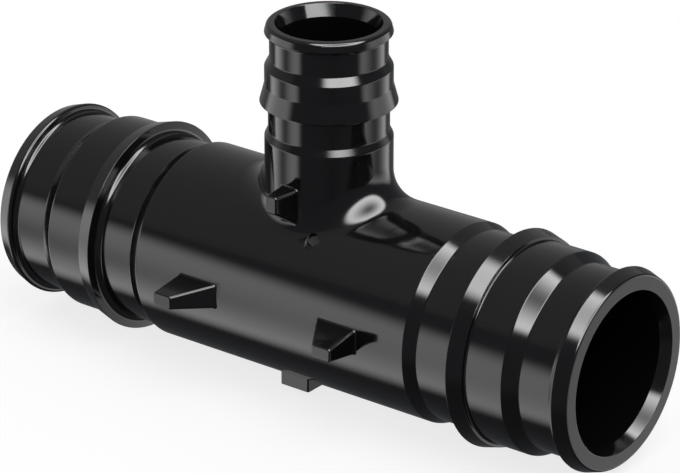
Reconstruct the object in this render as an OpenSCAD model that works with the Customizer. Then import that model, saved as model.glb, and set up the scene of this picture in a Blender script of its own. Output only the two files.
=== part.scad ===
// Reducing tee for plastic pipe that is stretched over its spigots, moulded in one piece.
// The run lies along X with an equal spigot at each end, and a smaller spigot rises along Z.
// The two bores cross at the origin. The mould opens along Y, front and back.
// A spigot has, from its open end: a lip with a lead-in, a groove, a ramp up to a land,
// a barb that flares and drops square, a second groove, and a ramp up to the plain body.
// The run's flare starts with a small square step up from its land.

/* [Run] */
// Length of the run between its two end faces
run_length = 134.8; // [126:0.1:160]
// Diameter of the plain middle of the run
run_body_d = 38.7; // [37.4:0.1:41]
// Bore of the run
run_bore_d = 29.4; // [26:0.1:31]
// Diameter of the run's mouth at its end face
run_mouth_d = 31.2; // [31.1:0.1:34]
// Depth of the tapered mouth
run_mouth_depth = 2.2; // [1:0.1:5]
// Outer diameter of the end face, before its edge is rounded
run_end_d = 36.9; // [35:0.1:38]
// Diameter of the lip behind the lead-in, before its edge is rounded
run_lip_d = 39; // [37.4:0.1:40]
// Diameter of the outer groove
run_outer_groove_d = 35.6; // [33.5:0.1:36.6]
// Diameter of the inner groove
run_inner_groove_d = 36.7; // [34:0.1:37.4]
// Diameter of the land between the outer groove and the barb
run_land_d = 38.7; // [37.4:0.1:40]
// Height of the step from the land up to the foot of the flare
run_step = 0.7; // [0.3:0.05:1]
// Diameter of the barb's edge before it is rounded
run_barb_d = 41.8; // [40.6:0.1:44]

/* [Run lengths along the axis] */
// End face to the lip's edge
run_lead_in = 3.3; // [1.5:0.1:5]
// Lip's edge to the end of the outer groove
run_outer_groove = 7.6; // [5:0.1:8.6]
// Ramp from the outer groove up to the land
run_outer_ramp = 2.7; // [1:0.1:4]
// Land
run_land = 8.2; // [4:0.1:9]
// Flare from the step up to the barb's edge
run_flare = 3.1; // [1:0.1:5]
// Barb's edge to the end of the inner groove
run_inner_groove = 8.4; // [5:0.1:10]
// Ramp from the inner groove up to the body
run_inner_ramp = 2.4; // [1:0.1:4]

/* [Branch] */
// Height of the branch's end face over the run's axis
branch_height = 52.2; // [50.5:0.1:70]
// Diameter of the plain foot of the branch
branch_body_d = 24.2; // [23:0.1:25.6]
// Bore of the branch
branch_bore_d = 18.3; // [15:0.1:19.4]
// Diameter of the branch's mouth at its end face
branch_mouth_d = 20.2; // [19.5:0.1:20.8]
// Depth of the tapered mouth
branch_mouth_depth = 2.4; // [1:0.1:5]
// Outer diameter of the end face, before its edge is rounded
branch_end_d = 23.2; // [22.4:0.1:23.8]
// Diameter of the lip behind the lead-in, before its edge is rounded
branch_lip_d = 24.1; // [23.6:0.1:25]
// Diameter of the outer groove
branch_outer_groove_d = 22.2; // [20.6:0.1:22.6]
// Diameter of the inner groove
branch_inner_groove_d = 22.8; // [21:0.1:22.9]
// Diameter of the land between the outer groove and the barb
branch_land_d = 24.1; // [23:0.1:25]
// Diameter of the barb's edge before it is rounded
branch_barb_d = 26; // [25.2:0.1:28]

/* [Branch lengths along the axis] */
// End face to the lip's edge
branch_lead_in = 1.8; // [1.2:0.1:2.5]
// Lip's edge to the end of the outer groove
branch_outer_groove = 5; // [3.5:0.1:5.5]
// Ramp from the outer groove up to the land
branch_outer_ramp = 1.7; // [1:0.1:2.5]
// Land
branch_land = 3.4; // [2:0.1:4.5]
// Flare from the land up to the barb's edge
branch_flare = 3.5; // [1.5:0.1:4.5]
// Barb's edge to the end of the inner groove
branch_inner_groove = 5.5; // [4:0.1:6.5]
// Ramp from the inner groove up to the foot
branch_inner_ramp = 1.4; // [1:0.1:2.5]

/* [Edges and blends] */
// Radius of the blend where the branch meets the run
saddle_r = 6.4; // [3:0.1:7]
// Radius at the foot of the run's lips and barbs
run_foot_r = 1.3; // [0.3:0.1:1.4]
// Radius at the foot of the branch's lip and barb
branch_foot_r = 0.8; // [0.2:0.05:0.9]
// Axial slope of the back of a lip or barb
back_slope = 0.3; // [0.1:0.05:0.6]
// Radius on the outer edge of the run's end faces
run_end_r = 0.6; // [0.1:0.05:1]
// Radius on the edge of the run's lips
run_lip_r = 0.6; // [0.1:0.05:0.8]
// Radius on the run's ramps, at their foot and at their top
run_ramp_r = 0.8; // [0.1:0.05:1]
// Radius on the outer edge of the branch's end face
branch_end_r = 0.8; // [0.1:0.05:1]
// Radius on the edge of the branch's lip
branch_lip_r = 0.15; // [0.05:0.05:0.4]
// Radius on the branch's ramps, at their foot and at their top
branch_ramp_r = 0.6; // [0.1:0.05:0.8]
// Radius on the edges of the barbs and of the run's step
barb_r = 0.1; // [0.05:0.05:0.25]
// Radius on the edges of the pipe stops and the pad
stop_r = 0.4; // [0.05:0.05:0.6]

/* [Pipe stops on the run] */
// Stop face of each run stop, from the branch's axis
run_stop_x = 21; // [16:0.1:30]
// How far a run stop stands out of the body
run_stop_rise = 7.6; // [3:0.1:10]
// Length of a run stop at the body
run_stop_foot_length = 9; // [5:0.1:14]
// Length of a run stop at its tip
run_stop_tip_length = 4.2; // [2:0.1:4.9]
// Width of a run stop at the body
run_stop_foot_w = 4.8; // [3:0.1:8]
// Width of a run stop at its tip
run_stop_tip_w = 2.6; // [1.5:0.1:2.9]

/* [Pipe stops on the branch] */
// Stop face of each branch stop, over the run's axis
branch_stop_z = 23; // [21:0.1:28]
// How far a branch stop stands out of the branch
branch_stop_rise = 5.5; // [3:0.1:8]
// Length of a branch stop at the branch
branch_stop_foot_length = 7; // [4:0.1:9]
// Length of a branch stop at its tip
branch_stop_tip_length = 3.3; // [1.5:0.1:3.9]
// Width of a branch stop at the branch
branch_stop_foot_w = 4; // [2.6:0.1:6]
// Width of a branch stop at its tip
branch_stop_tip_w = 2.5; // [1.5:0.1:2.5]

/* [Foot pads and gate mark] */
// Length of the two foot pads, along the run
pad_length = 6.7; // [4:0.1:12]
// Distance over the outer faces of the front pad and the back pad
pad_span = 21.6; // [19:0.1:25]
// Depth of the pads' flat underside under the run's axis
pad_depth = 18.7; // [18:0.1:20]
// Diameter of the gate mark on the front
gate_d = 2.4; // [1.5:0.1:4]
// Depth of the gate mark under the run's surface
gate_depth = 0.3; // [0.2:0.05:1]
// Place of the gate mark along the run
gate_x = 6; // [3:0.1:12]
// Height of the gate mark over the run's axis
gate_z = 14.2; // [10:0.1:14.8]

/* [Hidden] */
// How far a stop or a foot pad reaches into the wall that carries it
wall_bite = 1.5;
// How far the saddle blend is let into the two tubes, so that its edges cross their walls
blend_bite = 0.04;
// How far a cutter runs past the face that it leaves by
overshoot = 1;
// Axial slope of the face of the run's step, and the radius at its foot
step_slope = 0.1;
step_foot_r = 0.3;
// Number of sections round the saddle blend, and of steps in each section
saddle_sections = 72;
saddle_steps = 8;
// Number of steps round a rounded edge
edge_steps = 4;
// Sides of a round
round_fn = 96;

run_half = run_length / 2;
run_body_r = run_body_d / 2;
branch_body_r = branch_body_d / 2;

function unit(v) = v / norm(v);

// Points of a closed outline, each given as [x, y, radius of its corner]
function rounded(outline) = [
    for (i = [0:len(outline) - 1])
        let (
            last = len(outline),
            corner = outline[i],
            before = outline[(i + last - 1) % last],
            after = outline[(i + 1) % last]
        )
        each corner.z > 0 ? arc_at(before, corner, after) : [[corner.x, corner.y]]
];

// Arc that rounds one corner, held to half of the shorter side
function arc_at(before, corner, after) =
    let (
        here = [corner.x, corner.y],
        back = [before.x, before.y] - here,
        ahead = [after.x, after.y] - here,
        half_angle = acos(unit(back) * unit(ahead)) / 2,
        reach = min(corner.z / tan(half_angle), norm(back) / 2, norm(ahead) / 2),
        radius = reach * tan(half_angle),
        centre = here + unit(unit(back) + unit(ahead)) * radius / sin(half_angle),
        start = here + unit(back) * reach - centre,
        end = here + unit(ahead) * reach - centre,
        sweep = 180 - 2 * half_angle,
        turn = start.x * end.y > start.y * end.x ? 1 : -1
    )
    [
        for (step = [0:edge_steps])
            let (angle = atan2(start.y, start.x) + turn * sweep * step / edge_steps)
            centre + radius * [cos(angle), sin(angle)]
    ];

// Outline of a spigot as [radius, height, radius of the corner], from its body to its open end
function spigot_outline(
    height, body_d, end_d, lip_d, outer_groove_d, inner_groove_d, land_d, step, barb_d,
    lead_in, outer_groove, outer_ramp, land, flare, inner_groove, inner_ramp,
    foot_r, ramp_r, lip_r, end_r
) =
    let (
        lip_z = height - lead_in,
        outer_ramp_z = lip_z - outer_groove,
        land_z = outer_ramp_z - outer_ramp,
        flare_z = land_z - land,
        barb_z = flare_z - flare,
        inner_ramp_z = barb_z - inner_groove,
        body_z = inner_ramp_z - inner_ramp
    )
    [
        [body_d / 2, body_z, ramp_r],
        [inner_groove_d / 2, inner_ramp_z, ramp_r],
        [inner_groove_d / 2, barb_z - back_slope, foot_r],
        [barb_d / 2, barb_z, barb_r],
        each step > 0
            ? [[land_d / 2 + step, flare_z, barb_r], [land_d / 2, flare_z + step_slope, step_foot_r]]
            : [[land_d / 2, flare_z, ramp_r]],
        [land_d / 2, land_z, ramp_r],
        [outer_groove_d / 2, outer_ramp_z, ramp_r],
        [outer_groove_d / 2, lip_z - back_slope, foot_r],
        [lip_d / 2, lip_z, lip_r],
        [end_d / 2, height, end_r]
    ];

run_outline = spigot_outline(
    height = run_half, body_d = run_body_d, end_d = run_end_d, lip_d = run_lip_d,
    outer_groove_d = run_outer_groove_d, inner_groove_d = run_inner_groove_d,
    land_d = run_land_d, step = run_step, barb_d = run_barb_d, lead_in = run_lead_in,
    outer_groove = run_outer_groove, outer_ramp = run_outer_ramp, land = run_land,
    flare = run_flare, inner_groove = run_inner_groove, inner_ramp = run_inner_ramp,
    foot_r = run_foot_r, ramp_r = run_ramp_r, lip_r = run_lip_r, end_r = run_end_r
);

branch_outline = spigot_outline(
    height = branch_height, body_d = branch_body_d, end_d = branch_end_d, lip_d = branch_lip_d,
    outer_groove_d = branch_outer_groove_d, inner_groove_d = branch_inner_groove_d,
    land_d = branch_land_d, step = 0, barb_d = branch_barb_d, lead_in = branch_lead_in,
    outer_groove = branch_outer_groove, outer_ramp = branch_outer_ramp, land = branch_land,
    flare = branch_flare, inner_groove = branch_inner_groove, inner_ramp = branch_inner_ramp,
    foot_r = branch_foot_r, ramp_r = branch_ramp_r, lip_r = branch_lip_r, end_r = branch_end_r
);

// The run's outside, turned from one outline that is the same at both ends
module run_outside() {
    count = len(run_outline);
    mirrored = [
        for (i = [count - 1:-1:0]) [run_outline[i].x, -run_outline[i].y, run_outline[i].z]
    ];
    outline = concat([[0, -run_half, 0]], mirrored, run_outline, [[0, run_half, 0]]);
    rotate([0, 90, 0])
        rotate_extrude($fn = round_fn)
            polygon(rounded(outline));
}

// The branch's outside, from the run's axis up
module branch_outside() {
    foot = [[0, 0, 0], [branch_body_r, 0, 0]];
    rotate_extrude($fn = round_fn)
        polygon(rounded(concat(foot, branch_outline, [[0, branch_height, 0]])));
}

// One section of the saddle blend: the arc of a ball that rolls on both tubes, and a root
// point inside both walls. The angle is that of the ball round the branch.
function saddle_section(angle) =
    let (
        ball_x = (branch_body_r + saddle_r) * cos(angle),
        ball_y = (branch_body_r + saddle_r) * sin(angle),
        ball_z = sqrt(pow(run_body_r + saddle_r, 2) - pow(ball_y, 2)),
        centre = [ball_x, ball_y, ball_z],
        to_branch = [-cos(angle), -sin(angle), 0],
        to_run = -unit([0, ball_y, ball_z]),
        sweep = acos(to_branch * to_run),
        root_r = branch_body_r - wall_bite,
        root_y = root_r * sin(angle),
        root_z = sqrt(pow(run_body_r - wall_bite, 2) - pow(root_y, 2))
    )
    concat(
        [
            for (step = [0:saddle_steps])
                let (along = sweep * step / saddle_steps)
                centre + (saddle_r + blend_bite) / sin(sweep)
                    * (sin(sweep - along) * to_branch + sin(along) * to_run)
        ],
        [[root_r * cos(angle), root_y, root_z]]
    );

// The saddle blend: a ring of those sections, closed on itself
module saddle_blend() {
    ring = saddle_steps + 2;
    sections = [for (i = [0:saddle_sections - 1]) saddle_section(360 * i / saddle_sections)];
    faces = [
        for (i = [0:saddle_sections - 1])
            for (j = [0:ring - 1])
                let (next_i = (i + 1) % saddle_sections, next_j = (j + 1) % ring)
                [
                    i * ring + j,
                    next_i * ring + j,
                    next_i * ring + next_j,
                    i * ring + next_j
                ]
    ];
    polyhedron([for (section = sections) each section], faces, convexity = 4);
}

// A pipe stop that stands out along -Y from a tube on the X axis. Its stop face is square to
// the tube, at x = 0, and its back slopes. Its sides taper, so that it leaves the mould.
module pipe_stop(tube_r, rise, foot_length, tip_length, foot_w, tip_w) {
    tip = tube_r + rise;
    root = tube_r - wall_bite;
    root_length = foot_length + (foot_length - tip_length) * wall_bite / rise;
    root_w = foot_w + (foot_w - tip_w) * wall_bite / rise;
    plan = [
        [0, -root, 0],
        [0, -tip, stop_r],
        [-tip_length, -tip, stop_r],
        [-root_length, -root, 0]
    ];
    front = [
        [-root, -root_w / 2, 0],
        [-root, root_w / 2, 0],
        [-tip, tip_w / 2, stop_r],
        [-tip, -tip_w / 2, stop_r]
    ];
    intersection() {
        linear_extrude(root_w + 2 * overshoot, center = true)
            polygon(rounded(plan));
        translate([-root_length - overshoot, 0, 0])
            rotate([90, 0, 90])
                linear_extrude(root_length + 2 * overshoot)
                    polygon(rounded(front));
    }
}

// The six pipe stops: front and back, towards each of the three open ends
module pipe_stops() {
    for (back = [0, 1])
        mirror([0, back, 0]) {
            for (left = [0, 1])
                mirror([left, 0, 0])
                    translate([run_stop_x, 0, 0])
                        pipe_stop(
                            run_body_r, run_stop_rise, run_stop_foot_length,
                            run_stop_tip_length, run_stop_foot_w, run_stop_tip_w
                        );
            translate([0, 0, branch_stop_z])
                rotate([0, -90, 0])
                    pipe_stop(
                        branch_body_r, branch_stop_rise, branch_stop_foot_length,
                        branch_stop_tip_length, branch_stop_foot_w, branch_stop_tip_w
                    );
        }
}

// The two foot pads, low on the front and the back of the run: one block through its wall
module foot_pads() {
    top = sqrt(pow(run_body_r, 2) - pow(pad_span / 2, 2)) - wall_bite / 2;
    plan = [
        [-pad_length / 2, -pad_span / 2, stop_r],
        [pad_length / 2, -pad_span / 2, stop_r],
        [pad_length / 2, pad_span / 2, stop_r],
        [-pad_length / 2, pad_span / 2, stop_r]
    ];
    translate([0, 0, -pad_depth])
        linear_extrude(pad_depth - top)
            polygon(rounded(plan));
}

// A bore with a tapered mouth, cut along Z from one height up to an end face
module bore_up(from, end, bore_d, mouth_d, mouth_depth) {
    past_r = mouth_d / 2 + overshoot * (mouth_d - bore_d) / 2 / mouth_depth;
    rotate_extrude($fn = round_fn)
        polygon([
            [0, from],
            [bore_d / 2, from],
            [bore_d / 2, end - mouth_depth],
            [past_r, end + overshoot],
            [0, end + overshoot]
        ]);
}

module bores() {
    rotate([0, 90, 0])
        cylinder(h = run_length, d = run_bore_d, center = true, $fn = round_fn);
    for (left = [0, 1])
        mirror([left, 0, 0])
            rotate([0, 90, 0])
                bore_up(run_stop_x, run_half, run_bore_d, run_mouth_d, run_mouth_depth);
    bore_up(0, branch_height, branch_bore_d, branch_mouth_d, branch_mouth_depth);
}

// The round mark that the mould's gate leaves on the front, sunk to an even depth
module gate_mark() {
    difference() {
        translate([gate_x, 0, gate_z])
            rotate([90, 0, 0])
                cylinder(h = run_body_r + saddle_r, d = gate_d, $fn = round_fn);
        rotate([0, 90, 0])
            cylinder(h = run_length, r = run_body_r - gate_depth, center = true, $fn = round_fn);
    }
}

module tee() {
    color([0.05, 0.05, 0.055])
        difference() {
            union() {
                run_outside();
                branch_outside();
                saddle_blend();
                pipe_stops();
                foot_pads();
            }
            bores();
            gate_mark();
        }
}

tee();
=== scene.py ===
# %% [markdown]
# # A reducing tee, moulded in glossy black plastic
#
# This lesson dresses one pipe fitting: a straight run with an equal barbed spigot at each end,
# and a smaller barbed spigot that rises from its middle. The packed CAD model gives the frame,
# the box and the collision. Blender adds what a glossy surface needs: a smooth skin whose normals
# are exact, so that a reflection runs over it without a ripple, a plastic that isn't one flat
# colour, and the soft boxes of a product studio.
#
# The first step loads the packed model and keeps its box, which the finished skin has to match.

# %% Load the packed model
import math

import bpy
import numpy as np
from mathutils import Matrix, Vector, interpolate
from mathutils.bvhtree import BVHTree


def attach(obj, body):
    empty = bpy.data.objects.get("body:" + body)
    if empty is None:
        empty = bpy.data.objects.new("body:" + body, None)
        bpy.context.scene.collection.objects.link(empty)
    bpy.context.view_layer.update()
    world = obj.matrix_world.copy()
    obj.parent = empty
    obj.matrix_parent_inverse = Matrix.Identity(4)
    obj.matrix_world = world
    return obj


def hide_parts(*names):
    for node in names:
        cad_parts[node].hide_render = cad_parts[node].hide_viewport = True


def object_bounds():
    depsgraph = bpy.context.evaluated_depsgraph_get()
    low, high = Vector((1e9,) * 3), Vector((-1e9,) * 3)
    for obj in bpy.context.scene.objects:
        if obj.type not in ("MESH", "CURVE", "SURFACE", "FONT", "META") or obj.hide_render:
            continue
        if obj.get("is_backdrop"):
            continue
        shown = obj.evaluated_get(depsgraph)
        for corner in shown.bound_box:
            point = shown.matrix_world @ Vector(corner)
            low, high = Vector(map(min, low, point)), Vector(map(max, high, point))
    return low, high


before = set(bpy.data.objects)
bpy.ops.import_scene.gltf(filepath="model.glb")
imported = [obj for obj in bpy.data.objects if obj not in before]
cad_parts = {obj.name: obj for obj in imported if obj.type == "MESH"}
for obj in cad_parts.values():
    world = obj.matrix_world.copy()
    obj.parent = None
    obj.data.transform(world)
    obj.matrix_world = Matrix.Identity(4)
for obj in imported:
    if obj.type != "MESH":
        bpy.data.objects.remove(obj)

CAD_BOX = [list(corner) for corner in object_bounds()]
MM = 0.001  # the drawing is in millimetres, the scene in metres
print("CAD box in millimetres:", [[round(c / MM, 2) for c in corner] for corner in CAD_BOX])

# %% [markdown]
# ## The sizes of the fitting
#
# A maker's drawing gives a turned spigot as stations: how far along, what radius, and how round
# the corner is. The same stations describe the big spigots of the run and the small one of the
# branch, so a function writes them once and is called with two sets of sizes. The run's spigots
# also have a small step where the flare of the barb ends. Lengths count back from the open end,
# because that is the end a pipe goes over.

# %% Sizes in millimetres
RUN_HALF = 67.4
RUN_BODY_R = 19.35
RUN_BORE_R = 14.7
BRANCH_TOP = 52.2
BRANCH_BODY_R = 12.1
BRANCH_BORE_R = 9.15
SADDLE_R = 6.4
BACK_SLOPE = 0.3
BARB_ROUND = 0.1
STEP_SLOPE = 0.1
STEP_FOOT_R = 0.3
MOUTH_ROUND = 0.15


def spigot_stations(start, top, radii, lengths, step, rounds, mouth, bore):
    """Stations (along, radius, corner radius) over the outside and round the end into the bore."""
    body_r, inner_groove_r, barb_r, land_r, outer_groove_r, lip_r, end_r = radii
    lead_in, outer_groove, outer_ramp, land, flare, inner_groove, inner_ramp = lengths
    foot_round, ramp_round, lip_round, end_round = rounds
    lip = top - lead_in
    outer_ramp_foot = lip - outer_groove
    land_top = outer_ramp_foot - outer_ramp
    flare_foot = land_top - land
    barb = flare_foot - flare
    inner_ramp_foot = barb - inner_groove
    step_up = [
        (flare_foot, land_r + step, BARB_ROUND), (flare_foot + STEP_SLOPE, land_r, STEP_FOOT_R)
    ] if step else [(flare_foot, land_r, ramp_round)]
    return [
        (start, body_r, 0),
        (inner_ramp_foot - inner_ramp, body_r, ramp_round),
        (inner_ramp_foot, inner_groove_r, ramp_round),
        (barb - BACK_SLOPE, inner_groove_r, foot_round),
        (barb, barb_r, BARB_ROUND),
        *step_up,
        (land_top, land_r, ramp_round),
        (outer_ramp_foot, outer_groove_r, ramp_round),
        (lip - BACK_SLOPE, outer_groove_r, foot_round),
        (lip, lip_r, lip_round),
        (top, end_r, end_round),
        (top, mouth[0], MOUTH_ROUND),
        (top - mouth[1], bore[0], MOUTH_ROUND),
        (bore[1], bore[0], 0),
    ]


RUN_START = 30
RUN_BORE_END = 60
BRANCH_START = 28
BRANCH_BORE_END = 46
RUN_STATIONS = spigot_stations(
    RUN_START, RUN_HALF, radii=(RUN_BODY_R, 18.35, 20.9, 19.35, 17.8, 19.5, 18.45),
    lengths=(3.3, 7.6, 2.7, 8.2, 3.1, 8.4, 2.4), step=0.7, rounds=(1.3, 0.8, 0.6, 0.6),
    mouth=(15.6, 2.2), bore=(RUN_BORE_R, RUN_BORE_END)
)
BRANCH_STATIONS = spigot_stations(
    BRANCH_START, BRANCH_TOP, radii=(BRANCH_BODY_R, 11.4, 13, 12.05, 11.1, 12.05, 11.6),
    lengths=(1.8, 5, 1.7, 3.4, 3.5, 5.5, 1.4), step=0, rounds=(0.8, 0.6, 0.15, 0.8),
    mouth=(10.1, 2.4), bore=(BRANCH_BORE_R, BRANCH_BORE_END)
)
print("stations on a spigot of the run:", len(RUN_STATIONS))

# %% [markdown]
# ## Rounding an outline and keeping its normals
#
# Blender can work out normals by averaging the faces round a point, but next to a small rounding
# that average leans over, and a reflection of a lamp then bends where the real one is straight.
# An outline made of straight stretches and arcs has normals that are known exactly, so they are
# worked out here and carried all the way into the mesh.

# %% Outline helpers
EDGE_STEPS = 4


def unit(vectors):
    """Vectors of length one."""
    vectors = np.asarray(vectors, float)
    return vectors / np.linalg.norm(vectors, axis=-1, keepdims=True)


def rounded_outline(stations):
    """Points and outward normals of an outline, both as rows of (along, radius)."""
    flat = np.array([station[:2] for station in stations], float)
    ways = unit(np.diff(flat, axis=0))
    sides = np.stack([-ways[:, 1], ways[:, 0]], axis=1)
    lengths = np.linalg.norm(np.diff(flat, axis=0), axis=1)
    points = [flat[0]]
    normals = [sides[0]]
    for i in range(1, len(stations) - 1):
        cross = ways[i - 1][0] * ways[i][1] - ways[i - 1][1] * ways[i][0]
        turn = math.atan2(cross, ways[i - 1] @ ways[i])
        slope = math.tan(abs(turn) / 2)
        reach = min(stations[i][2] * slope, lengths[i - 1] / 2, lengths[i] / 2)
        bend = math.copysign(reach / slope, turn)
        start = flat[i] - reach * ways[i - 1]
        for angle in np.linspace(0, turn, EDGE_STEPS + 1):
            c, s = math.cos(angle), math.sin(angle)
            side = np.array([[c, -s], [s, c]]) @ sides[i - 1]
            points.append(start + bend * (sides[i - 1] - side))
            normals.append(side)
    points.append(flat[-1])
    normals.append(sides[-1])
    return np.array(points), np.array(normals)


def spun_on_x(outline, angles, end=1):
    """Turns an outline about X. Angles count from the top towards +Y, and end is 1 or -1."""
    def spin(rows):
        along, across = rows[:, :1] * end, rows[:, 1:]
        return np.stack([
            along + 0 * angles, across * np.sin(angles), across * np.cos(angles)
        ], axis=-1)
    return spin(outline[0]), spin(outline[1])


def spun_on_z(outline, angles):
    """Turns an outline about Z. Angles count from +X towards +Y."""
    def spin(rows):
        along, across = rows[:, :1], rows[:, 1:]
        return np.stack([
            across * np.cos(angles), across * np.sin(angles), along + 0 * angles
        ], axis=-1)
    return spin(outline[0]), spin(outline[1])


run_outline = rounded_outline(RUN_STATIONS)
branch_outline = rounded_outline(BRANCH_STATIONS)
print("points on the run's outline:", len(run_outline[0]))

# %% [markdown]
# ## A skin made of patches
#
# The whole fitting becomes one closed mesh of quads. Each stretch of surface is a grid of points,
# and each grid brings its own normals. Points that two grids share are welded, but every corner
# of every quad keeps the normal of its own grid, so a crease stays sharp and a blend stays
# smooth. This is cleaner than joining solids with a Boolean, which leaves long thin triangles at
# every seam.

# %% The skin
WELD_MM = 0.001
OFF_GRID = 0.137  # so that no round number lies between two cells of the welding grid


class Skin:
    """Quads of one closed surface, each corner with its own normal, in millimetres."""

    def __init__(self):
        self.corners = []
        self.normals = []

    def add(self, points, normals, keep=None):
        """Adds a grid of rows x columns x 3. keep says which of its quads are made."""
        for grid, store in ((points, self.corners), (normals, self.normals)):
            quads = np.stack(
                [grid[:-1, :-1], grid[1:, :-1], grid[1:, 1:], grid[:-1, 1:]], axis=2
            )
            store.append(quads[keep] if keep is not None else quads.reshape(-1, 4, 3))

    def build(self, name):
        """Welds the patches and makes the Blender object, in metres."""
        corners = np.concatenate(self.corners)
        normals = unit(np.concatenate(self.normals))
        faced = np.cross(corners[:, 2] - corners[:, 0], corners[:, 3] - corners[:, 1])
        inward = np.einsum("ij,ij->i", faced, normals.mean(axis=1)) < 0
        corners[inward] = corners[inward, ::-1]
        normals[inward] = normals[inward, ::-1]
        cells = np.round(corners.reshape(-1, 3) / WELD_MM + OFF_GRID).astype(np.int64)
        _, first, number = np.unique(cells, axis=0, return_index=True, return_inverse=True)
        points = corners.reshape(-1, 3)[first] * MM
        faces, corner_normals = [], []
        for quad, turns in zip(number.reshape(-1, 4).tolist(), normals):
            kept = [i for i in range(4) if quad[i] != quad[i - 1]]
            if len(kept) > 2:
                faces.append([quad[i] for i in kept])
                corner_normals.extend(turns[i] for i in kept)
        mesh = bpy.data.meshes.new(name)
        mesh.from_pydata(points, [], faces)
        mesh.polygons.foreach_set("use_smooth", [True] * len(faces))
        mesh.normals_split_custom_set(corner_normals)
        mesh.update()
        return placed(name, mesh)


def placed(name, data):
    """A new object in the scene, for a mesh, a lamp or a camera."""
    made = bpy.data.objects.new(name, data)
    bpy.context.scene.collection.objects.link(made)
    return made


def rim(grid, low_row, high_row, low_column, high_column):
    """Points round a window of a grid, from its last row's first point, closed on itself."""
    rows = grid[low_row:high_row + 1, low_column:high_column + 1]
    return np.concatenate([rows[-1], rows[-2::-1, -1], rows[0, -2::-1], rows[1:, 0]])


skin = Skin()
print("welding to", WELD_MM, "mm")

# %% [markdown]
# ## The turned spigots
#
# The two ends of the run and the end of the branch are plain turned forms. Their outlines go over
# the outside, round the end face and a little way down the bore, so that the mouth's edges are
# rounded as well.

# %% Turn the spigots
RUN_SIDES = 192
SEAM = -66  # the grid of the run starts on its lower front, where no feature crosses it
BRANCH_SIDES = 224

run_angles = np.radians(360 / RUN_SIDES * (SEAM + np.arange(RUN_SIDES + 1)))
branch_angles = np.radians(360 / BRANCH_SIDES * np.arange(BRANCH_SIDES + 1))
for end in (1, -1):
    skin.add(*spun_on_x(run_outline, run_angles, end))
skin.add(*spun_on_z(branch_outline, branch_angles))
print("quads after the spigots:", sum(len(c) for c in skin.corners))

# %% [markdown]
# ## The plain body of the run, with windows
#
# The middle of the run is a cylinder, laid out as a grid in length and angle. Where the branch, a
# lug or a pad stands on it, the grid has a window. The rim of each window is a ring of points,
# and the feature is built inwards from that ring, with as many points in each of its own rings.
# That keeps the mesh closed and made of quads.

# %% The body's grid
WINDOW_HALF = 24  # the branch's window along the run
WINDOW_DEGREES = 60  # and to each side of the top
BODY_STEP = 1.0
BODY_END_ROWS = 7


def places_along(half, window_half, step, end_rows):
    """Places along the run: even steps past the window, and a few rows out to each end."""
    return np.concatenate([
        np.linspace(-half, -window_half, end_rows)[:-1],
        np.arange(-window_half, window_half + step / 2, step),
        np.linspace(window_half, half, end_rows)[1:],
    ])


def on_run(x, angles, radius=RUN_BODY_R):
    """Points and normals on a cylinder about X."""
    x, angles = np.broadcast_arrays(x, angles)
    across = np.stack([0 * x, np.sin(angles), np.cos(angles)], axis=-1)
    points = across * radius
    points[..., 0] = x
    return points, across


body_x = places_along(RUN_START, WINDOW_HALF, BODY_STEP, BODY_END_ROWS)
body_points, body_normals = on_run(body_x[:, None], run_angles[None, :])
body_keep = np.ones((len(body_x) - 1, RUN_SIDES), bool)
print("points in the body's grid:", body_points.shape[0] * body_points.shape[1])


# %% Windows in the body
def row_at(x):
    """Row of the body's grid at this place along the run."""
    return int(np.argmin(abs(body_x - x)))


def column_at(degrees):
    """Column of the run's grid at this angle from the top."""
    return round(degrees * RUN_SIDES / 360) - SEAM


def body_window(low_x, high_x, low_degrees, high_degrees):
    """Opens a window in the body and gives the points and normals of its rim, and its cells."""
    rows = row_at(low_x), row_at(high_x)
    columns = column_at(low_degrees), column_at(high_degrees)
    body_keep[rows[0]:rows[1], columns[0]:columns[1]] = False
    ring = [rim(grid, *rows, *columns) for grid in (body_points, body_normals)]
    return ring[0], ring[1], (columns[1] - columns[0], rows[1] - rows[0])


branch_rim, _, (branch_cells, _) = body_window(
    -WINDOW_HALF, WINDOW_HALF, -WINDOW_DEGREES, WINDOW_DEGREES
)
print("points round the branch's window:", len(branch_rim) - 1)

# %% [markdown]
# ## The saddle, where the branch grows out of the run
#
# A moulder gives this corner a rolling blend: a ball that touches both tubes is rolled round the
# branch, and the blend is the surface that it leaves. Its section turns with the angle, so no
# turned form or single fillet gives it. The centre of the ball is known for every angle, and so
# are the two points where it touches, which gives both the surface and its normals. The rings run
# from the window's rim over the run, up the blend and up the branch to its spigot.

# %% Rings of the saddle
RIM_RINGS = 10
SADDLE_RINGS = 16
BRANCH_RINGS = 14


def started_at_middle(ring, cells):
    """The ring of a window's rim, started half-way along its first side."""
    return np.concatenate([np.roll(ring[:-1], -(cells // 2), axis=0), ring[cells // 2][None]])


def lerp(first, second, share):
    """The mix of two arrays."""
    return first * (1 - share) + second * share


spokes = np.stack([np.cos(branch_angles), np.sin(branch_angles), 0 * branch_angles], axis=-1)
ball = spokes * (BRANCH_BODY_R + SADDLE_R)
ball[:, 2] = np.sqrt((RUN_BODY_R + SADDLE_R) ** 2 - ball[:, 1] ** 2)
to_branch = -spokes
to_run = -unit(ball * [0, 1, 1])
sweep = np.arccos(np.einsum("ij,ij->i", to_branch, to_run))[:, None]

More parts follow.
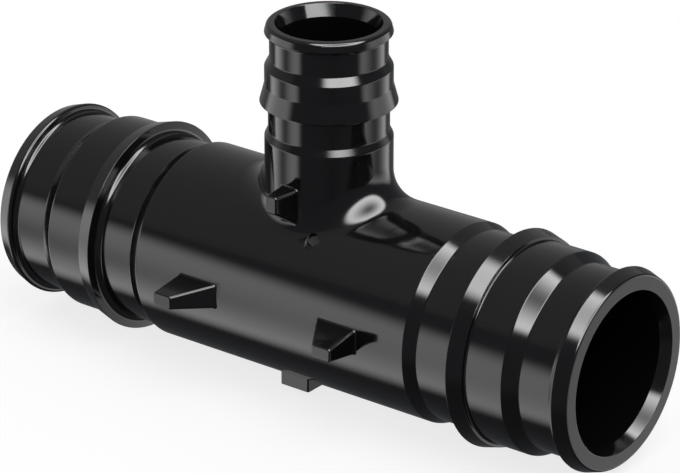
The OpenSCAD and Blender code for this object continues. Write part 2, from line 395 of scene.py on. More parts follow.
start_ring = started_at_middle(branch_rim, branch_cells)
foot_ring = ball + SADDLE_R * to_run
angles = [np.arctan2(ring[:, 1], ring[:, 2]) for ring in (start_ring, foot_ring)]
rings, ring_normals = [], []
for part in np.arange(RIM_RINGS) / RIM_RINGS:
    points, normals = on_run(lerp(start_ring[:, 0], foot_ring[:, 0], part), lerp(*angles, part))
    rings.append(points)
    ring_normals.append(normals)
for part in np.arange(SADDLE_RINGS) / SADDLE_RINGS:
    toward = np.sin(sweep * (1 - part)) * to_run + np.sin(sweep * part) * to_branch
    toward /= np.sin(sweep)
    rings.append(ball + SADDLE_R * toward)
    ring_normals.append(-toward)
for part in np.arange(BRANCH_RINGS + 1) / BRANCH_RINGS:
    points = ball + SADDLE_R * to_branch
    points[:, 2] += (BRANCH_START - points[:, 2]) * part
    rings.append(points)
    ring_normals.append(-to_branch)
saddle_points, saddle_normals = np.array(rings), np.array(ring_normals)
saddle_keep = np.ones((len(rings) - 1, BRANCH_SIDES), bool)
print("rings of the saddle and the branch's foot:", len(rings))

# %% [markdown]
# ## Studs and pockets
#
# The lugs, the pads and the gate mark are all the same thing to a mesh: a ring of points on the
# surface, walls that rise or sink from it, and a flat end. One function makes them all. It takes
# the loop of the form at two levels and finds where the walls meet the surface. Then it lays
# rings: over the surface to the foot, round a small hollow at the foot, up the wall, round the
# edge, and in to the middle of the flat.

# %% Stud and pocket helpers
SKIRT_RINGS = 3
FOOT_STEPS = 4
WALL_STEPS = 3
CAP_SHARES = (0.7, 0.35, 0.0)
CORNER_CELLS = 2
FOOT_TRIES = 6  # a sloped wall and a round surface meet this closely after so many corrections


def rounded_loop(corners, radius, cells):
    """A rectangle with round corners, as (points, normals). Its corners lie at the corners of a
    window with those numbers of cells along its first and second side."""
    corners = np.array(corners, float)
    sides = [cells[0], cells[1], cells[0], cells[1]]
    middle = corners.mean(axis=0)
    loop, outward = [], []
    for k in range(4):
        here, after = corners[k], corners[(k + 1) % 4]
        way = unit(after - here)
        side = np.array([way[1], -way[0]])
        side *= np.sign(side @ (here - middle))
        start = here + way * radius
        end = after - way * radius
        for step in range(sides[k] - 2 * CORNER_CELLS):
            loop.append(start + (end - start) * step / (sides[k] - 2 * CORNER_CELLS))
            outward.append(side)
        for step in range(2 * CORNER_CELLS):
            turn = math.radians(90) * step / (2 * CORNER_CELLS)
            normal = math.cos(turn) * side + math.sin(turn) * way
            loop.append(end - side * radius + radius * normal)
            outward.append(normal)
    loop = np.roll(loop, CORNER_CELLS, axis=0)
    outward = np.roll(outward, CORNER_CELLS, axis=0)
    return np.vstack([loop, loop[:1]]), np.vstack([outward, outward[:1]])


def flat_end(out, level):
    """Lifts flat coordinates to a plane that is square to the unit vector out."""
    def lift(loop):
        points = np.zeros((len(loop), 3))
        points[:, [i for i in range(3) if out[i] == 0]] = loop
        points += np.array(out, float) * level
        return points, np.broadcast_to(np.array(out, float), points.shape)
    return lift


print("cells in a round corner:", 2 * CORNER_CELLS)


# %% One stud or pocket
def stand(ring, lift, foot_loop, tip_loop, outward, levels, out, foot_r, edge_r, end=None):
    """Adds a stud, or a pocket, inside a window.

    ring is the window's rim as (points, normals). lift takes flat coordinates to the surface, and
    end takes them to the far end of the walls, both as (points, normals). foot_loop and tip_loop
    are flat loops at the two levels, which count along the unit vector out. outward is the flat
    normal of the loops."""
    flat = [i for i in range(3) if out[i] == 0]
    height = float(np.dot(out, [1, 1, 1]))
    axis = int(np.argmax(np.abs(out)))
    end = end or flat_end(out, levels[1])
    level = np.full(len(foot_loop), float(levels[0]))
    for _ in range(FOOT_TRIES):
        share = ((level - levels[0]) / (levels[1] - levels[0]))[:, None]
        met = lift(lerp(foot_loop, tip_loop, share))[0]
        level = met[:, axis] * height
    foot = met
    tip = end(tip_loop)[0]
    rising = unit(tip - foot)
    along = np.zeros_like(foot)
    along[:, flat] = np.stack([-outward[:, 1], outward[:, 0]], axis=1)
    wall = unit(np.cross(along, rising))
    flat_outward = np.zeros_like(foot)
    flat_outward[:, flat] = outward
    raised = np.sign(rising[0] @ out)
    wall *= np.sign(np.einsum("ij,ij->i", wall, flat_outward))[:, None] * raised
    skirt_points, skirt_normals = lift(foot[:, flat] + outward * foot_r)

    points, normals = [ring[0]], [ring[1]]
    for part in np.arange(1, SKIRT_RINGS) / SKIRT_RINGS:
        lifted = lift(lerp(ring[0][:, flat], skirt_points[:, flat], part))
        points.append(lifted[0])
        normals.append(lifted[1])
    wall_start = foot + rising * foot_r
    for part in np.linspace(0, 1, FOOT_STEPS + 1):
        near, far = lerp(skirt_points, foot, part), lerp(foot, wall_start, part)
        points.append(lerp(near, far, part))
        normals.append(unit(lerp(skirt_normals, wall, part)))
    wall_end = tip - rising * edge_r
    for part in np.arange(1, WALL_STEPS) / WALL_STEPS:
        points.append(lerp(wall_start, wall_end, part))
        normals.append(wall)
    inset, inset_normals = end(tip_loop - outward * edge_r)
    for part in np.linspace(0, 1, EDGE_STEPS + 1):
        near, far = lerp(wall_end, tip, part), lerp(tip, inset, part)
        points.append(lerp(near, far, part))
        normals.append(unit(lerp(wall, inset_normals, part)))
    middle = np.mean(tip_loop[:-1], axis=0)
    for share in CAP_SHARES:
        lifted = end(lerp(middle, tip_loop - outward * edge_r, share))
        points.append(lifted[0])
        normals.append(lifted[1])
    skin.add(np.array(points), np.array(normals))


print("rings on a stud:", SKIRT_RINGS + FOOT_STEPS + WALL_STEPS + EDGE_STEPS + len(CAP_SHARES))


# %% [markdown]
# ## The four lugs on the run
#
# A pipe end is pushed on until it meets two lugs, one in front and one behind. A lug is square to
# the pipe on its stop side and slopes on the other, and all its sides lean in towards the tip,
# because the mould opens that way.

# %% Lugs on the run
RUN_STOP_X = 21
RUN_STOP_LENGTHS = (9, 4.2)  # at the body, at the tip
RUN_STOP_HALF_WIDTHS = (2.4, 1.3)
RUN_STOP_TIP = RUN_BODY_R + 7.6
RUN_STOP_WINDOW = (10, 23)  # along the run, from its middle
RUN_STOP_DEGREES = 11.25
LUG_FOOT_R = 0.35
LUG_EDGE_R = 0.4
LUG_CORNER_R = 0.55


def on_run_side(side):
    """Lifts flat (x, z) to the run's surface, at the front for -1 and at the back for 1."""
    def lift(flat):
        across = side * np.sqrt(RUN_BODY_R ** 2 - flat[:, 1] ** 2)
        points = np.stack([flat[:, 0], across, flat[:, 1]], axis=1)
        return points, points * [0, 1, 1] / RUN_BODY_R
    return lift


def four_corners(x_low, x_high, first, second):
    """Corners in the order of a window's rim."""
    return [(x_high, first), (x_high, second), (x_low, second), (x_low, first)]


for side in (-1, 1):
    for end in (-1, 1):
        low_x, high_x = sorted(end * x for x in RUN_STOP_WINDOW)
        ring, ring_n, cells = body_window(
            low_x, high_x, side * 90 - RUN_STOP_DEGREES, side * 90 + RUN_STOP_DEGREES
        )
        loops = []
        for length, half_width in zip(RUN_STOP_LENGTHS, RUN_STOP_HALF_WIDTHS):
            x_ends = sorted((end * RUN_STOP_X, end * (RUN_STOP_X - length)))
            first = side * half_width
            loops.append(rounded_loop(four_corners(*x_ends, first, -first), LUG_CORNER_R, cells))
        stand(
            (ring, ring_n), on_run_side(side), loops[0][0], loops[1][0], loops[0][1],
            (RUN_BODY_R, RUN_STOP_TIP), (0, side, 0), LUG_FOOT_R, LUG_EDGE_R
        )
print("lugs stand out to y =", RUN_STOP_TIP, "mm")

# %% [markdown]
# ## The two foot pads
#
# Low on the front and on the back of the run stands a small block with a flat underside, which
# runs into the tube where the tube's own underside comes down to it. Only the front one shows in
# the photograph. The front of a block is upright and its corners are rounded.

# %% Foot pads
PAD_HALF_LENGTH = 3.35
PAD_OUTER_Y = 10.8
PAD_INNER_Y = 5.1  # just outside the line where the underside meets the tube
PAD_LEVEL = 18.7
PAD_FOOT_LEVEL = RUN_BODY_R - 3
PAD_CORNER_R = 0.4
PAD_EDGE_R = 0.015  # nearly sharp
PAD_WINDOW_HALF = 5
PAD_WINDOW_DEGREES = 33.75


def on_run_bottom(flat):
    """Lifts flat (x, y) to the lowest side of the run."""
    points = np.stack([flat[:, 0], flat[:, 1], -np.sqrt(RUN_BODY_R ** 2 - flat[:, 1] ** 2)], 1)
    return points, points * [0, 1, 1] / RUN_BODY_R


for low_degrees, low_y, high_y in (
    (138.75, PAD_OUTER_Y, PAD_INNER_Y), (187.5, -PAD_INNER_Y, -PAD_OUTER_Y)
):
    ring, ring_n, cells = body_window(
        -PAD_WINDOW_HALF, PAD_WINDOW_HALF, low_degrees, low_degrees + PAD_WINDOW_DEGREES
    )
    pad_loop, pad_outward = rounded_loop(
        four_corners(-PAD_HALF_LENGTH, PAD_HALF_LENGTH, low_y, high_y), PAD_CORNER_R, cells
    )
    stand(
        (ring, ring_n), on_run_bottom, pad_loop, pad_loop, pad_outward,
        (PAD_FOOT_LEVEL, PAD_LEVEL), (0, 0, -1), PAD_EDGE_R, PAD_EDGE_R
    )
skin.add(body_points, body_normals, body_keep)
print("pads' level below the axis:", PAD_LEVEL, "mm")

# %% [markdown]
# ## Finding the saddle under a flat plan
#
# The lugs of the branch and the gate mark stand on the saddle, whose height has no short formula
# over a flat plan. So the bare saddle becomes a small search tree, and a ray cast along Y finds
# the point under each plan coordinate. The normal there is mixed from the corners of the quad
# that the ray meets, so it stays smooth.

# %% Cast onto the bare saddle
FAR = 60  # a ray starts this far out, clear of the fitting
columns = BRANCH_SIDES + 1
bare_points = [Vector(p) for p in saddle_points.reshape(-1, 3)]
bare_normals = saddle_normals.reshape(-1, 3)
bare_quads = [
    [r * columns + c, (r + 1) * columns + c, (r + 1) * columns + c + 1, r * columns + c + 1]
    for r in range(len(saddle_points) - 1) for c in range(BRANCH_SIDES)
]
bare_tree = BVHTree.FromPolygons(bare_points, bare_quads)


def on_saddle_side(side):
    """Lifts flat (x, z) to the saddle or the branch, at the front for -1 and the back for 1."""
    def lift(flat):
        points, normals = [], []
        for x, z in flat:
            start, way = Vector((x, side * FAR, z)), Vector((0, -side, 0))
            hit, _, index, _ = bare_tree.ray_cast(start, way)
            quad = bare_quads[index]
            shares = interpolate.poly_3d_calc([bare_points[i] for i in quad], hit)
            points.append(hit)
            normals.append(np.dot(shares, bare_normals[quad]))
        return np.array(points), unit(normals)
    return lift


def saddle_window(low_ring, high_ring, degrees, half_degrees):
    """Opens a window in the saddle's grid round an angle of the branch."""
    low = round((degrees - half_degrees) % 360 * BRANCH_SIDES / 360)
    high = round((degrees + half_degrees) % 360 * BRANCH_SIDES / 360)
    saddle_keep[low_ring:high_ring, low:high] = False
    ring = [rim(grid, low_ring, high_ring, low, high) for grid in (saddle_points, saddle_normals)]
    return (ring[0], ring[1]), (high - low, high_ring - low_ring)


print("quads to cast onto:", len(bare_quads))

# %% [markdown]
# ## The two lugs on the branch
#
# The pipe on the branch stops at a lug in front and one behind, made as those of the run but
# smaller. Their stop faces look up, so a lug is laid out downwards from that face, and its foot
# runs out over the blend.

# %% Lugs on the branch
BRANCH_STOP_Z = 23
BRANCH_STOP_LENGTHS = (7, 3.3)  # at the body, at the tip
BRANCH_STOP_HALF_WIDTHS = (2, 1.25)
BRANCH_STOP_TIP = BRANCH_BODY_R + 5.5
BRANCH_STOP_RINGS = (RIM_RINGS + 7, RIM_RINGS + SADDLE_RINGS + 9)
BRANCH_STOP_DEGREES = 13

for side in (-1, 1):
    ring, cells = saddle_window(*BRANCH_STOP_RINGS, side * 90, BRANCH_STOP_DEGREES)
    loops = []
    for length, half_width in zip(BRANCH_STOP_LENGTHS, BRANCH_STOP_HALF_WIDTHS):
        first = side * half_width
        corners = [
            (first, BRANCH_STOP_Z), (-first, BRANCH_STOP_Z),
            (-first, BRANCH_STOP_Z - length), (first, BRANCH_STOP_Z - length)
        ]
        loops.append(rounded_loop(corners, LUG_CORNER_R, cells))
    stand(
        ring, on_saddle_side(side), loops[0][0], loops[1][0], loops[0][1],
        (BRANCH_BODY_R, BRANCH_STOP_TIP), (0, side, 0), LUG_FOOT_R, LUG_EDGE_R
    )
print("branch lugs stand out to y =", BRANCH_STOP_TIP, "mm")

# %% [markdown]
# ## The gate mark
#
# The melt enters the mould at one point, and the stub that stays there is cut off inside a small
# round recess, so that no burr stands out of the fitting. It is a pocket whose floor follows the
# run, made by the same function as the lugs, with a wall that sinks where theirs rise.

# %% Gate mark
GATE_X, GATE_Z = 6, 14.2
GATE_R = 1.2
GATE_DEPTH = 0.3
GATE_EDGE_R = 0.03
GATE_RINGS = (RIM_RINGS - 7, RIM_RINGS + 8)
GATE_DEGREES = (-70.2, 7.2)  # the middle and the half width of its window round the branch

ring, cells = saddle_window(*GATE_RINGS, *GATE_DEGREES)
spread = np.arctan2(ring[0][:, 2] - GATE_Z, ring[0][:, 0] - GATE_X)
gate_outward = np.stack([np.cos(spread), np.sin(spread)], axis=1)
gate_loop = np.array([GATE_X, GATE_Z]) + GATE_R * gate_outward


def gate_floor(flat):
    """Lifts flat (x, z) to the even floor of the gate mark."""
    radius = RUN_BODY_R - GATE_DEPTH
    points = np.stack([flat[:, 0], -np.sqrt(radius ** 2 - flat[:, 1] ** 2), flat[:, 1]], axis=1)
    return points, points * [0, 1, 1] / radius


stand(
    ring, on_saddle_side(-1), gate_loop, gate_loop, gate_outward, (RUN_BODY_R, 0), (0, -1, 0),
    GATE_EDGE_R, GATE_EDGE_R, gate_floor
)
skin.add(saddle_points, saddle_normals, saddle_keep)
room = np.linalg.norm(ring[0][:, [0, 2]] - [GATE_X, GATE_Z], axis=1).min() - GATE_R
print("room round the gate mark:", round(room, 2), "mm")

# %% [markdown]
# ## The two bores and where they cross
#
# The bore of the run is the same kind of grid as its outside, with a window under the branch. The
# edge where the two bores cross is sharp on the real moulding, because two cores meet there, and
# it comes out sharp here because the two patches keep their own normals.

# %% Bores
CROSSING_HALF = 15
CROSSING_STEP = 0.75
CROSSING_DEGREES = 67.5
CROSSING_RINGS = 6
BORE_END_ROWS = 6

bore_x = places_along(RUN_BORE_END, CROSSING_HALF, CROSSING_STEP, BORE_END_ROWS)
bore_points, bore_across = on_run(bore_x[:, None], run_angles[None, :], RUN_BORE_R)
rows = [int(np.argmin(abs(bore_x - x))) for x in (-CROSSING_HALF, CROSSING_HALF)]
columns = [column_at(degrees) for degrees in (-CROSSING_DEGREES, CROSSING_DEGREES)]
bore_keep = np.ones((len(bore_x) - 1, RUN_SIDES), bool)
bore_keep[rows[0]:rows[1], columns[0]:columns[1]] = False
skin.add(bore_points, -bore_across, bore_keep)

start_ring = started_at_middle(rim(bore_points, *rows, *columns), columns[1] - columns[0])
crossing = spokes * BRANCH_BORE_R
crossing[:, 2] = np.sqrt(RUN_BORE_R ** 2 - crossing[:, 1] ** 2)
angles = [np.arctan2(ring[:, 1], ring[:, 2]) for ring in (start_ring, crossing)]
parts = np.linspace(0, 1, CROSSING_RINGS)[:, None]
points, across = on_run(
    lerp(start_ring[:, 0], crossing[:, 0], parts), lerp(*angles, parts), RUN_BORE_R
)
skin.add(points, -across)
print("depth of the crossing under its highest point:", round(np.ptp(crossing[:, 2]), 2), "mm")

# %% The branch's bore, and the finished skin
BRANCH_BORE_RINGS = 8

top = crossing * [1, 1, 0] + [0, 0, BRANCH_BORE_END]
parts = np.linspace(0, 1, BRANCH_BORE_RINGS)[:, None, None]
points = lerp(crossing, top, parts)
skin.add(points, np.broadcast_to(to_branch, points.shape))
tee = skin.build("tee_skin")
open_edges = len(tee.data.edges) * 2 - len(tee.data.loops)
print("faces:", len(tee.data.polygons), "open edges:", open_edges)

# %% [markdown]
# ## Tying the skin to the frame
#
# The skin stands for the CAD node, which is then hidden but still collides in the simulation.

# %% Ride and replace
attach(tee, "root")
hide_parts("tee")

# %% [markdown]
# ## Shader maths in plain Python
#
# A node tree reads best as a formula. This small class wraps a socket, so that an expression such
# as 0.1 + 0.05 * grain adds its Math nodes by itself, and any other node comes from one method.

# %% A socket that takes part in sums
class Wire:
    """An output socket of a node tree, with the operators that the finishes use."""

    def __init__(self, tree, socket=None):
        self.tree = tree
        self.socket = socket

    def node(self, kind, settings=None, inputs=None, output=0):
        """Adds a node: its settings first, then the values or links of its sockets."""
        made = self.tree.nodes.new(kind)
        for name, value in (settings or {}).items():
            setattr(made, name, value)
        for name, value in (inputs or {}).items():
            if isinstance(value, Wire):
                self.tree.links.new(value.socket, made.inputs[name])
            else:
                made.inputs[name].default_value = value
        return Wire(self.tree, made.outputs[output]) if made.outputs else None

    def sum_of(self, operation, first, second):
        """Adds a Math node with two terms."""
        return self.node("ShaderNodeMath", {"operation": operation}, {0: first, 1: second})

    def __add__(self, other):
        return self.sum_of("ADD", self, other)

    def __sub__(self, other):
        return self.sum_of("SUBTRACT", self, other)

    def __rsub__(self, other):
        return self.sum_of("SUBTRACT", other, self)

    def __mul__(self, other):
        return self.sum_of("MULTIPLY", self, other)

    def __truediv__(self, other):
        return self.sum_of("DIVIDE", self, other)

    def __pow__(self, other):
        return self.sum_of("POWER", self, other)

    def __rpow__(self, other):
        return self.sum_of("POWER", other, self)

    def __abs__(self):
        return self.node("ShaderNodeMath", {"operation": "ABSOLUTE"}, {0: self})

    __radd__ = __add__
    __rmul__ = __mul__


def new_material(name):
    """An empty material, and a wire to build it with."""
    material = bpy.data.materials.new(name)
    material.use_nodes = True
    material.node_tree.nodes.clear()
    return material, Wire(material.node_tree)


print("operators of a wire:", [name for name in vars(Wire) if name.startswith("__r")])

# %% [markdown]
# ## Glossy black plastic
#
# The fitting is moulded in a black engineering plastic, polished by the mould. Such a surface is
# never one flat colour: the black is a little greyer where the melt flowed last, the polish
# varies, and there is a faint waviness that bends a reflection's edge. Noise at three sizes gives
# those, and the colour stays near 0.005, as where the photo's plastic mirrors only itself it is
# that dark.

# %% The plastic
BLACK = (0.0038, 0.0038, 0.0044, 1)
GREYER_BLACK = (0.006, 0.006, 0.0068, 1)
POLISH = 0.08
POLISH_CHANGE = 0.05
FLOW_PER_M = 45
GRAIN_PER_M = 900
RIPPLE_PER_M = 70
RIPPLE_HEIGHT = 0.01 * MM
GRAIN_IN_RIPPLE = 0.02
FLOW_IN_POLISH, GRAIN_IN_POLISH = 0.6, 0.4
REFRACTIVE_INDEX = 1.5

plastic, wire = new_material("black_plastic")
place = wire.node("ShaderNodeTexCoord", output="Object")


def noise(per_metre, detail):
    """Smooth noise between 0 and 1, fixed to the fitting."""
    return wire.node(
        "ShaderNodeTexNoise", {"noise_dimensions": "3D"},
        {"Vector": place, "Scale": per_metre, "Detail": detail}, "Fac"
    )


flow = noise(FLOW_PER_M, 2)
grain = noise(GRAIN_PER_M, 3)
colour = wire.node("ShaderNodeMix", {"data_type": "RGBA"}, {0: flow, 6: BLACK, 7: GREYER_BLACK}, 2)
ripple = wire.node("ShaderNodeBump", None, {
    "Strength": 1, "Distance": RIPPLE_HEIGHT,
    "Height": noise(RIPPLE_PER_M, 1) + GRAIN_IN_RIPPLE * grain
}, "Normal")
unevenness = FLOW_IN_POLISH * flow + GRAIN_IN_POLISH * grain
surface = wire.node("ShaderNodeBsdfPrincipled", None, {
    "Base Color": colour, "Roughness": POLISH + POLISH_CHANGE * unevenness,
    "Normal": ripple, "IOR": REFRACTIVE_INDEX,
})
wire.node("ShaderNodeOutputMaterial", None, {"Surface": surface})
tee.data.materials.append(plastic)
print("nodes in the plastic:", len(plastic.node_tree.nodes))

# %% [markdown]
# ## The floor
#
# The photograph's background is plain white. On camera rays the floor glows, and with the light
# that it scatters it comes to about 1, which is white, without any more light on the object. It
# stays a real surface, so that it takes a soft shadow, which the photograph doesn't have. Seen
# from below it is clear, so that it never hides the fitting.

# %% Floor
FLOOR_HALF = 3.0
FLOOR_GLOW = 0.78
FLOOR_COLOUR = (0.3, 0.3, 0.3, 1)
SQUARE = ((-1, -1), (1, -1), (1, 1), (-1, 1))


def card(name, corners, paint):
    """A flat card of the stage, from its four corners in metres."""
    mesh = bpy.data.meshes.new(name)
    mesh.from_pydata(corners, [], [(0, 1, 2, 3)])
    mesh.materials.append(paint)
    return placed(name, mesh)


def seen_directly(wire):
    """One for camera, mirrored and transmitted rays, and zero for light that scatters."""
    path = [wire.node("ShaderNodeLightPath", output=name) for name in (
        "Is Camera Ray", "Is Glossy Ray", "Is Transmission Ray"
    )]
    return path[0] + path[1] + path[2]


def one_sided(wire, shader):
    """The shader on the front of a face, and nothing on its back."""
    behind = wire.node("ShaderNodeNewGeometry", output="Backfacing")
    clear = wire.node("ShaderNodeBsdfTransparent")
    return wire.node("ShaderNodeMixShader", None, {0: behind, 1: shader, 2: clear})


paint, wire = new_material("pale_floor")
matt = wire.node("ShaderNodeBsdfDiffuse", None, {"Color": FLOOR_COLOUR})
glow = wire.node("ShaderNodeEmission", None, {"Strength": FLOOR_GLOW})
both = wire.node("ShaderNodeAddShader", None, {0: matt, 1: glow})
shown = wire.node("ShaderNodeMixShader", None, {0: seen_directly(wire), 1: matt, 2: both})
wire.node("ShaderNodeOutputMaterial", None, {"Surface": one_sided(wire, shown)})
lowest = CAD_BOX[0][2]
floor = card("floor", [(x * FLOOR_HALF, y * FLOOR_HALF, lowest) for x, y in SQUARE], paint)
floor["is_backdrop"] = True
print("floor at", round(lowest / MM, 2), "mm")

# %% [markdown]
# ## The room
#
# The world is white where it is seen, and dimmer as a light, because the lamps add to it. A
# colour renders as it is written where the light comes to one, and here it stays under that: a
# matt grey ball in the fitting's place gets 0.77 on top, 0.62 towards the camera, 0.46 in front.

# %% World
ROOM_LIGHT = 0.6

world = bpy.data.worlds.new("studio")
world.use_nodes = True
world.node_tree.nodes.clear()
wire = Wire(world.node_tree)
back = wire.node("ShaderNodeBackground", None, {
    "Strength": ROOM_LIGHT + (1 - ROOM_LIGHT) * seen_directly(wire)
})
wire.node("ShaderNodeOutputWorld", None, {"Surface": back})
bpy.context.scene.world = world
print("the room lights the fitting at", ROOM_LIGHT)

# %% [markdown]
# ## The camera
#
# The photograph looks down at the front of the fitting from a little to the right. The view's two
# angles, the distance and the lens were fitted to the fitting's outline.

# %% Camera
AZIMUTH = math.radians(37.66)
ELEVATION = math.radians(23.68)
DISTANCE = 745.8 * MM
LENS = 208.05
SENSOR_WIDTH = 36
NEAREST = 0.01
AIM_RIGHT = 2.048 * MM
AIM_UP = 8.186 * MM


def faced(right, up, back, place):
    """The matrix of a camera or lamp at this place, which looks away from back."""
    return Matrix.Translation(place) @ Matrix((right, up, back)).transposed().to_4x4()


right = Vector((math.cos(AZIMUTH), math.sin(AZIMUTH), 0))
back = Vector((
    math.sin(AZIMUTH) * math.cos(ELEVATION), -math.cos(AZIMUTH) * math.cos(ELEVATION),
    math.sin(ELEVATION)
))
up = back.cross(right)
lens = bpy.data.cameras.new("camera")
lens.lens = LENS
lens.sensor_width = SENSOR_WIDTH
lens.clip_start = NEAREST
camera = placed("camera", lens)
eye = AIM_RIGHT * right + AIM_UP * up + DISTANCE * back
camera.matrix_world = faced(right, up, back, eye)
bpy.context.scene.camera = camera
print("camera at", [round(value, 3) for value in eye])

# %% [markdown]
# ## A black tent with soft boxes
#
# Black gloss shows nothing but what it mirrors. With the white room in it, the fitting would turn
# grey with white rims, so a studio hangs black cloth all round and sets soft boxes against it.
# Each soft box is made of two things on the same side of the fitting. A glowing panel with soft
# edges is what the gloss mirrors, and only mirrored rays see it. A lamp gives the even light that
# falls on
# any surface, at a plain level, and mirrored rays don't see it. The floor isn't mirrored either:
# mirrored rays don't see it, as for a fitting that hangs free in a studio, and two of the panels
# reach below it.

# %% Stage helpers
def towards(azimuth, elevation, roll=0):
    """Unit vectors from the origin to a place in the studio: outward, to the right and up."""
    around, height, turn = (math.radians(angle) for angle in (azimuth, elevation, roll))
    out = Vector((
        math.cos(height) * math.cos(around), math.cos(height) * math.sin(around), math.sin(height)
    ))
    side = Vector((-math.sin(around), math.cos(around), 0))
    rise = out.cross(side)
    c, s = math.cos(turn), math.sin(turn)
    return out, side * c + rise * s, rise * c - side * s


def only_mirrored(thing):
    """Keeps a thing of the stage out of all rays but the mirrored ones."""
    thing.visible_camera = False
    thing.visible_diffuse = False
    thing.visible_shadow = False
    thing.visible_transmission = False
    thing.visible_volume_scatter = False
    thing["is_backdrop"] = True


def glow_material(name):
    """An emission material that isn't sampled as a lamp, and a wire to build it with."""
    material, wire = new_material(name)
    material.cycles.emission_sampling = "NONE"
    return material, wire


print("up from the front:", [round(value, 2) for value in towards(-90, 0)[2]])

# %% The tent
TENT_RADIUS = 5.0
TENT_GLOW = 0.17
LOW_TENT_GLOW = 0.09
DARK_BELOW = -0.75  # heights on the tent, as shares of its radius
LIT_ABOVE = -0.35
TENT_TINT = (0.95, 0.98, 1.04, 1)

cloth, wire = glow_material("black_cloth")
seat = wire.node("ShaderNodeTexCoord", output="Object")
height = wire.node("ShaderNodeSeparateXYZ", None, {0: seat}, "Z") / TENT_RADIUS
fade = wire.node("ShaderNodeMapRange", {"interpolation_type": "SMOOTHSTEP"}, {
    "Value": height, "From Min": DARK_BELOW, "From Max": LIT_ABOVE
})
low, high = (
    wire.node("ShaderNodeEmission", None, {"Color": TENT_TINT, "Strength": glow})
    for glow in (LOW_TENT_GLOW, TENT_GLOW)
)
dark = wire.node("ShaderNodeMixShader", None, {0: fade, 1: low, 2: high})
wire.node("ShaderNodeOutputMaterial", None, {"Surface": dark})
tent_mesh = bpy.data.meshes.new("black_tent")
tent_corners = [
    (x * TENT_RADIUS, y * TENT_RADIUS, z * TENT_RADIUS)
    for x in (-1, 1) for y in (-1, 1) for z in (-1, 1)
]
tent_mesh.from_pydata(tent_corners, [], [
    (0, 1, 3, 2), (4, 6, 7, 5), (0, 4, 5, 1), (2, 3, 7, 6), (0, 2, 6, 4), (1, 5, 7, 3)
])
tent_mesh.materials.append(cloth)
tent = placed("black_tent", tent_mesh)
only_mirrored(tent)
floor.visible_glossy = False
print("the tent glows at", TENT_GLOW)

# %% [markdown]
# ## The glowing panels
#
# Three round soft lamps with a darker middle, and a dim glow behind, are what the photographed
# gloss mirrors. A lamp of Blender's own has hard edges and one brightness, so each panel is a
# card whose glow is a formula: a rounded square whose edge fades, times one less a dark spot. The
# formula mixes the glow with a clear shader, so that where it doesn't glow the tent behind it
# shows, and the tent's own glow is added to the card's, which hides it.

# %% Glowing panels
PANEL_DISTANCE = 3.0
PANEL_MARGIN = 1.7  # a card is this much larger than its glow's half-bright outline


def soft_panel(name, place, half_width, half_height, squareness, soft, strength, spot=None):
    """A panel that faces the fitting. place is (azimuth, elevation, roll), sizes are tangents as
    seen from the origin, and spot is (depth, size, right, up) of a darker place on it."""
    paint, wire = glow_material(name)
    seat = wire.node("ShaderNodeTexCoord", output="Object")
    parts = [wire.node("ShaderNodeSeparateXYZ", None, {0: seat}, axis) for axis in ("X", "Y")]
    right, up = (part / PANEL_DISTANCE for part in parts)
    reach = (
        abs(right / half_width) ** squareness + abs(up / half_height) ** squareness
    ) ** (1 / squareness)
    shine = wire.node("ShaderNodeMapRange", {"interpolation_type": "SMOOTHSTEP"}, {
        "Value": reach, "From Min": 1 - soft, "From Max": 1 + soft, "To Min": 1, "To Max": 0
    })
    if spot:
        depth, size, spot_right, spot_up = spot
        away = (right - spot_right) ** 2 + (up - spot_up) ** 2
        shine = shine * (1 - depth * math.e ** (away * (-0.5 / size ** 2)))
    light = wire.node("ShaderNodeEmission", None, {"Strength": strength + TENT_GLOW})
    clear = wire.node("ShaderNodeBsdfTransparent")
    masked = wire.node("ShaderNodeMixShader", None, {0: shine, 1: clear, 2: light})
    wire.node("ShaderNodeOutputMaterial", None, {"Surface": masked})
    half = [size * PANEL_DISTANCE * PANEL_MARGIN for size in (half_width, half_height)]
    panel = card(name, [(x * half[0], y * half[1], 0) for x, y in SQUARE], paint)
    out, side, rise = towards(*place)
    panel.matrix_world = faced(side, rise, out, out * PANEL_DISTANCE)
    only_mirrored(panel)
    print(name, "at azimuth", place[0], "and elevation", place[1])


soft_panel(
    "key_panel", place=(-23.6, 62.5, 0), half_width=0.65, half_height=0.68, squareness=2.2,
    soft=0.17, strength=13.7, spot=(0.873, 0.28, -0.02, 0.06)
)
soft_panel(
    "left_panel", place=(-143.5, -19.1, 5), half_width=0.615, half_height=0.597, squareness=2.4,
    soft=0.23, strength=2.15, spot=(0.89, 0.167, 0.01, 0.01)
)
soft_panel(
    "right_panel", place=(45.3, -17.6, 1), half_width=0.657, half_height=0.484, squareness=2.8,
    soft=0.28, strength=2.03, spot=(0.866, 0.254, -0.02, -0.05)
)
soft_panel(
    "back_panel", place=(160, 38, 0), half_width=2.2, half_height=1.4, squareness=3,
    soft=0.4, strength=0.17
)

# %% [markdown]
# ## A shelf that only the branch's mouth sees
#
# In the photograph the back of the branch's mouth mirrors something bright low down, while the
# saddle under it mirrors nothing there. A card that faced the mouth would draw a line across the
# saddle as well. So the card lies like a sloping shelf and shines from its upper side only: the
# mouth looks down on it, and all that is lower sees its clear underside. Each of its corners is
# where a line of sight from the mouth meets the sloping plane.

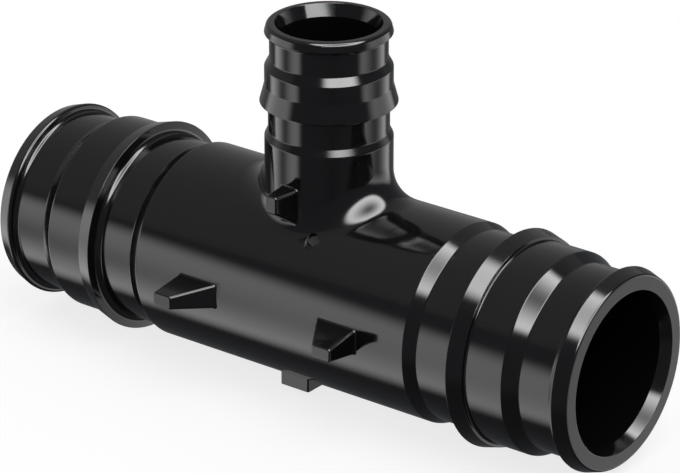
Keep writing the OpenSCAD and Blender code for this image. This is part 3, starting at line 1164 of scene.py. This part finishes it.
# %% Shelf card
MOUTH = Vector((-0.005, 0.007, 0.051))
SHELF_DROP = 17 * MM  # the plane passes this far under the mouth
SHELF_SLOPE = 0.53
SHELF_PLACE = (-33, 21.6, 2)
SHELF_HALF_WIDTH, SHELF_HALF_HEIGHT = 0.58, 0.045  # tangents, as seen from the mouth
SHELF_STRENGTH = 10.5

out, side, rise = towards(*SHELF_PLACE)
level = Vector((out.x, out.y, 0)).normalized()
plane_normal = Vector((0, 0, 1)) - level * SHELF_SLOPE
corners = []
for right, up in SQUARE:
    sight = out + side * (right * SHELF_HALF_WIDTH) + rise * (up * SHELF_HALF_HEIGHT)
    corners.append(MOUTH + sight * (-SHELF_DROP / sight.dot(plane_normal)))
paint, wire = glow_material("shelf_card")
light = wire.node("ShaderNodeEmission", None, {"Strength": SHELF_STRENGTH})
wire.node("ShaderNodeOutputMaterial", None, {"Surface": one_sided(wire, light)})
shelf = card("shelf_card", corners, paint)
if shelf.data.polygons[0].normal.z < 0:
    shelf.data.flip_normals()
only_mirrored(shelf)
print("shelf corners in mm:", [[round(value / MM) for value in corner] for corner in corners])

# %% [markdown]
# ## The lamps
#
# What falls on a matt surface comes from the room and from three plain lamps, each on the side of
# one of the bright panels and above the floor. They are large, so that the shadow on the floor is
# soft, and mirrored rays don't see them, because the panels already stand for them there.

# %% Lamps
LAMP_DISTANCE = 1.6


def lamp(name, azimuth, elevation, size, watts):
    """A square area lamp that faces the fitting and isn't mirrored in it."""
    light = bpy.data.lights.new(name, "AREA")
    light.shape = "SQUARE"
    light.size = size
    light.energy = watts
    made = placed(name, light)
    out, side, rise = towards(azimuth, elevation)
    made.matrix_world = faced(side, rise, out, out * LAMP_DISTANCE)
    made.visible_glossy = False
    print(name, watts, "W")


lamp("key_lamp", azimuth=-23.6, elevation=63.2, size=1.2, watts=8)
lamp("left_lamp", azimuth=-143.5, elevation=15, size=1.0, watts=3)
lamp("right_lamp", azimuth=45.3, elevation=15, size=1.0, watts=2)
bpy.context.scene.view_settings.view_transform = "Standard"

# %% [markdown] ## Measuring and closing  The finished skin has to fill the same box as the CAD
# model.

# %% Close the scene
SEEN_BOX = [list(corner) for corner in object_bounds()]
print("visual box in millimetres:", [[round(c / MM, 2) for c in corner] for corner in SEEN_BOX])
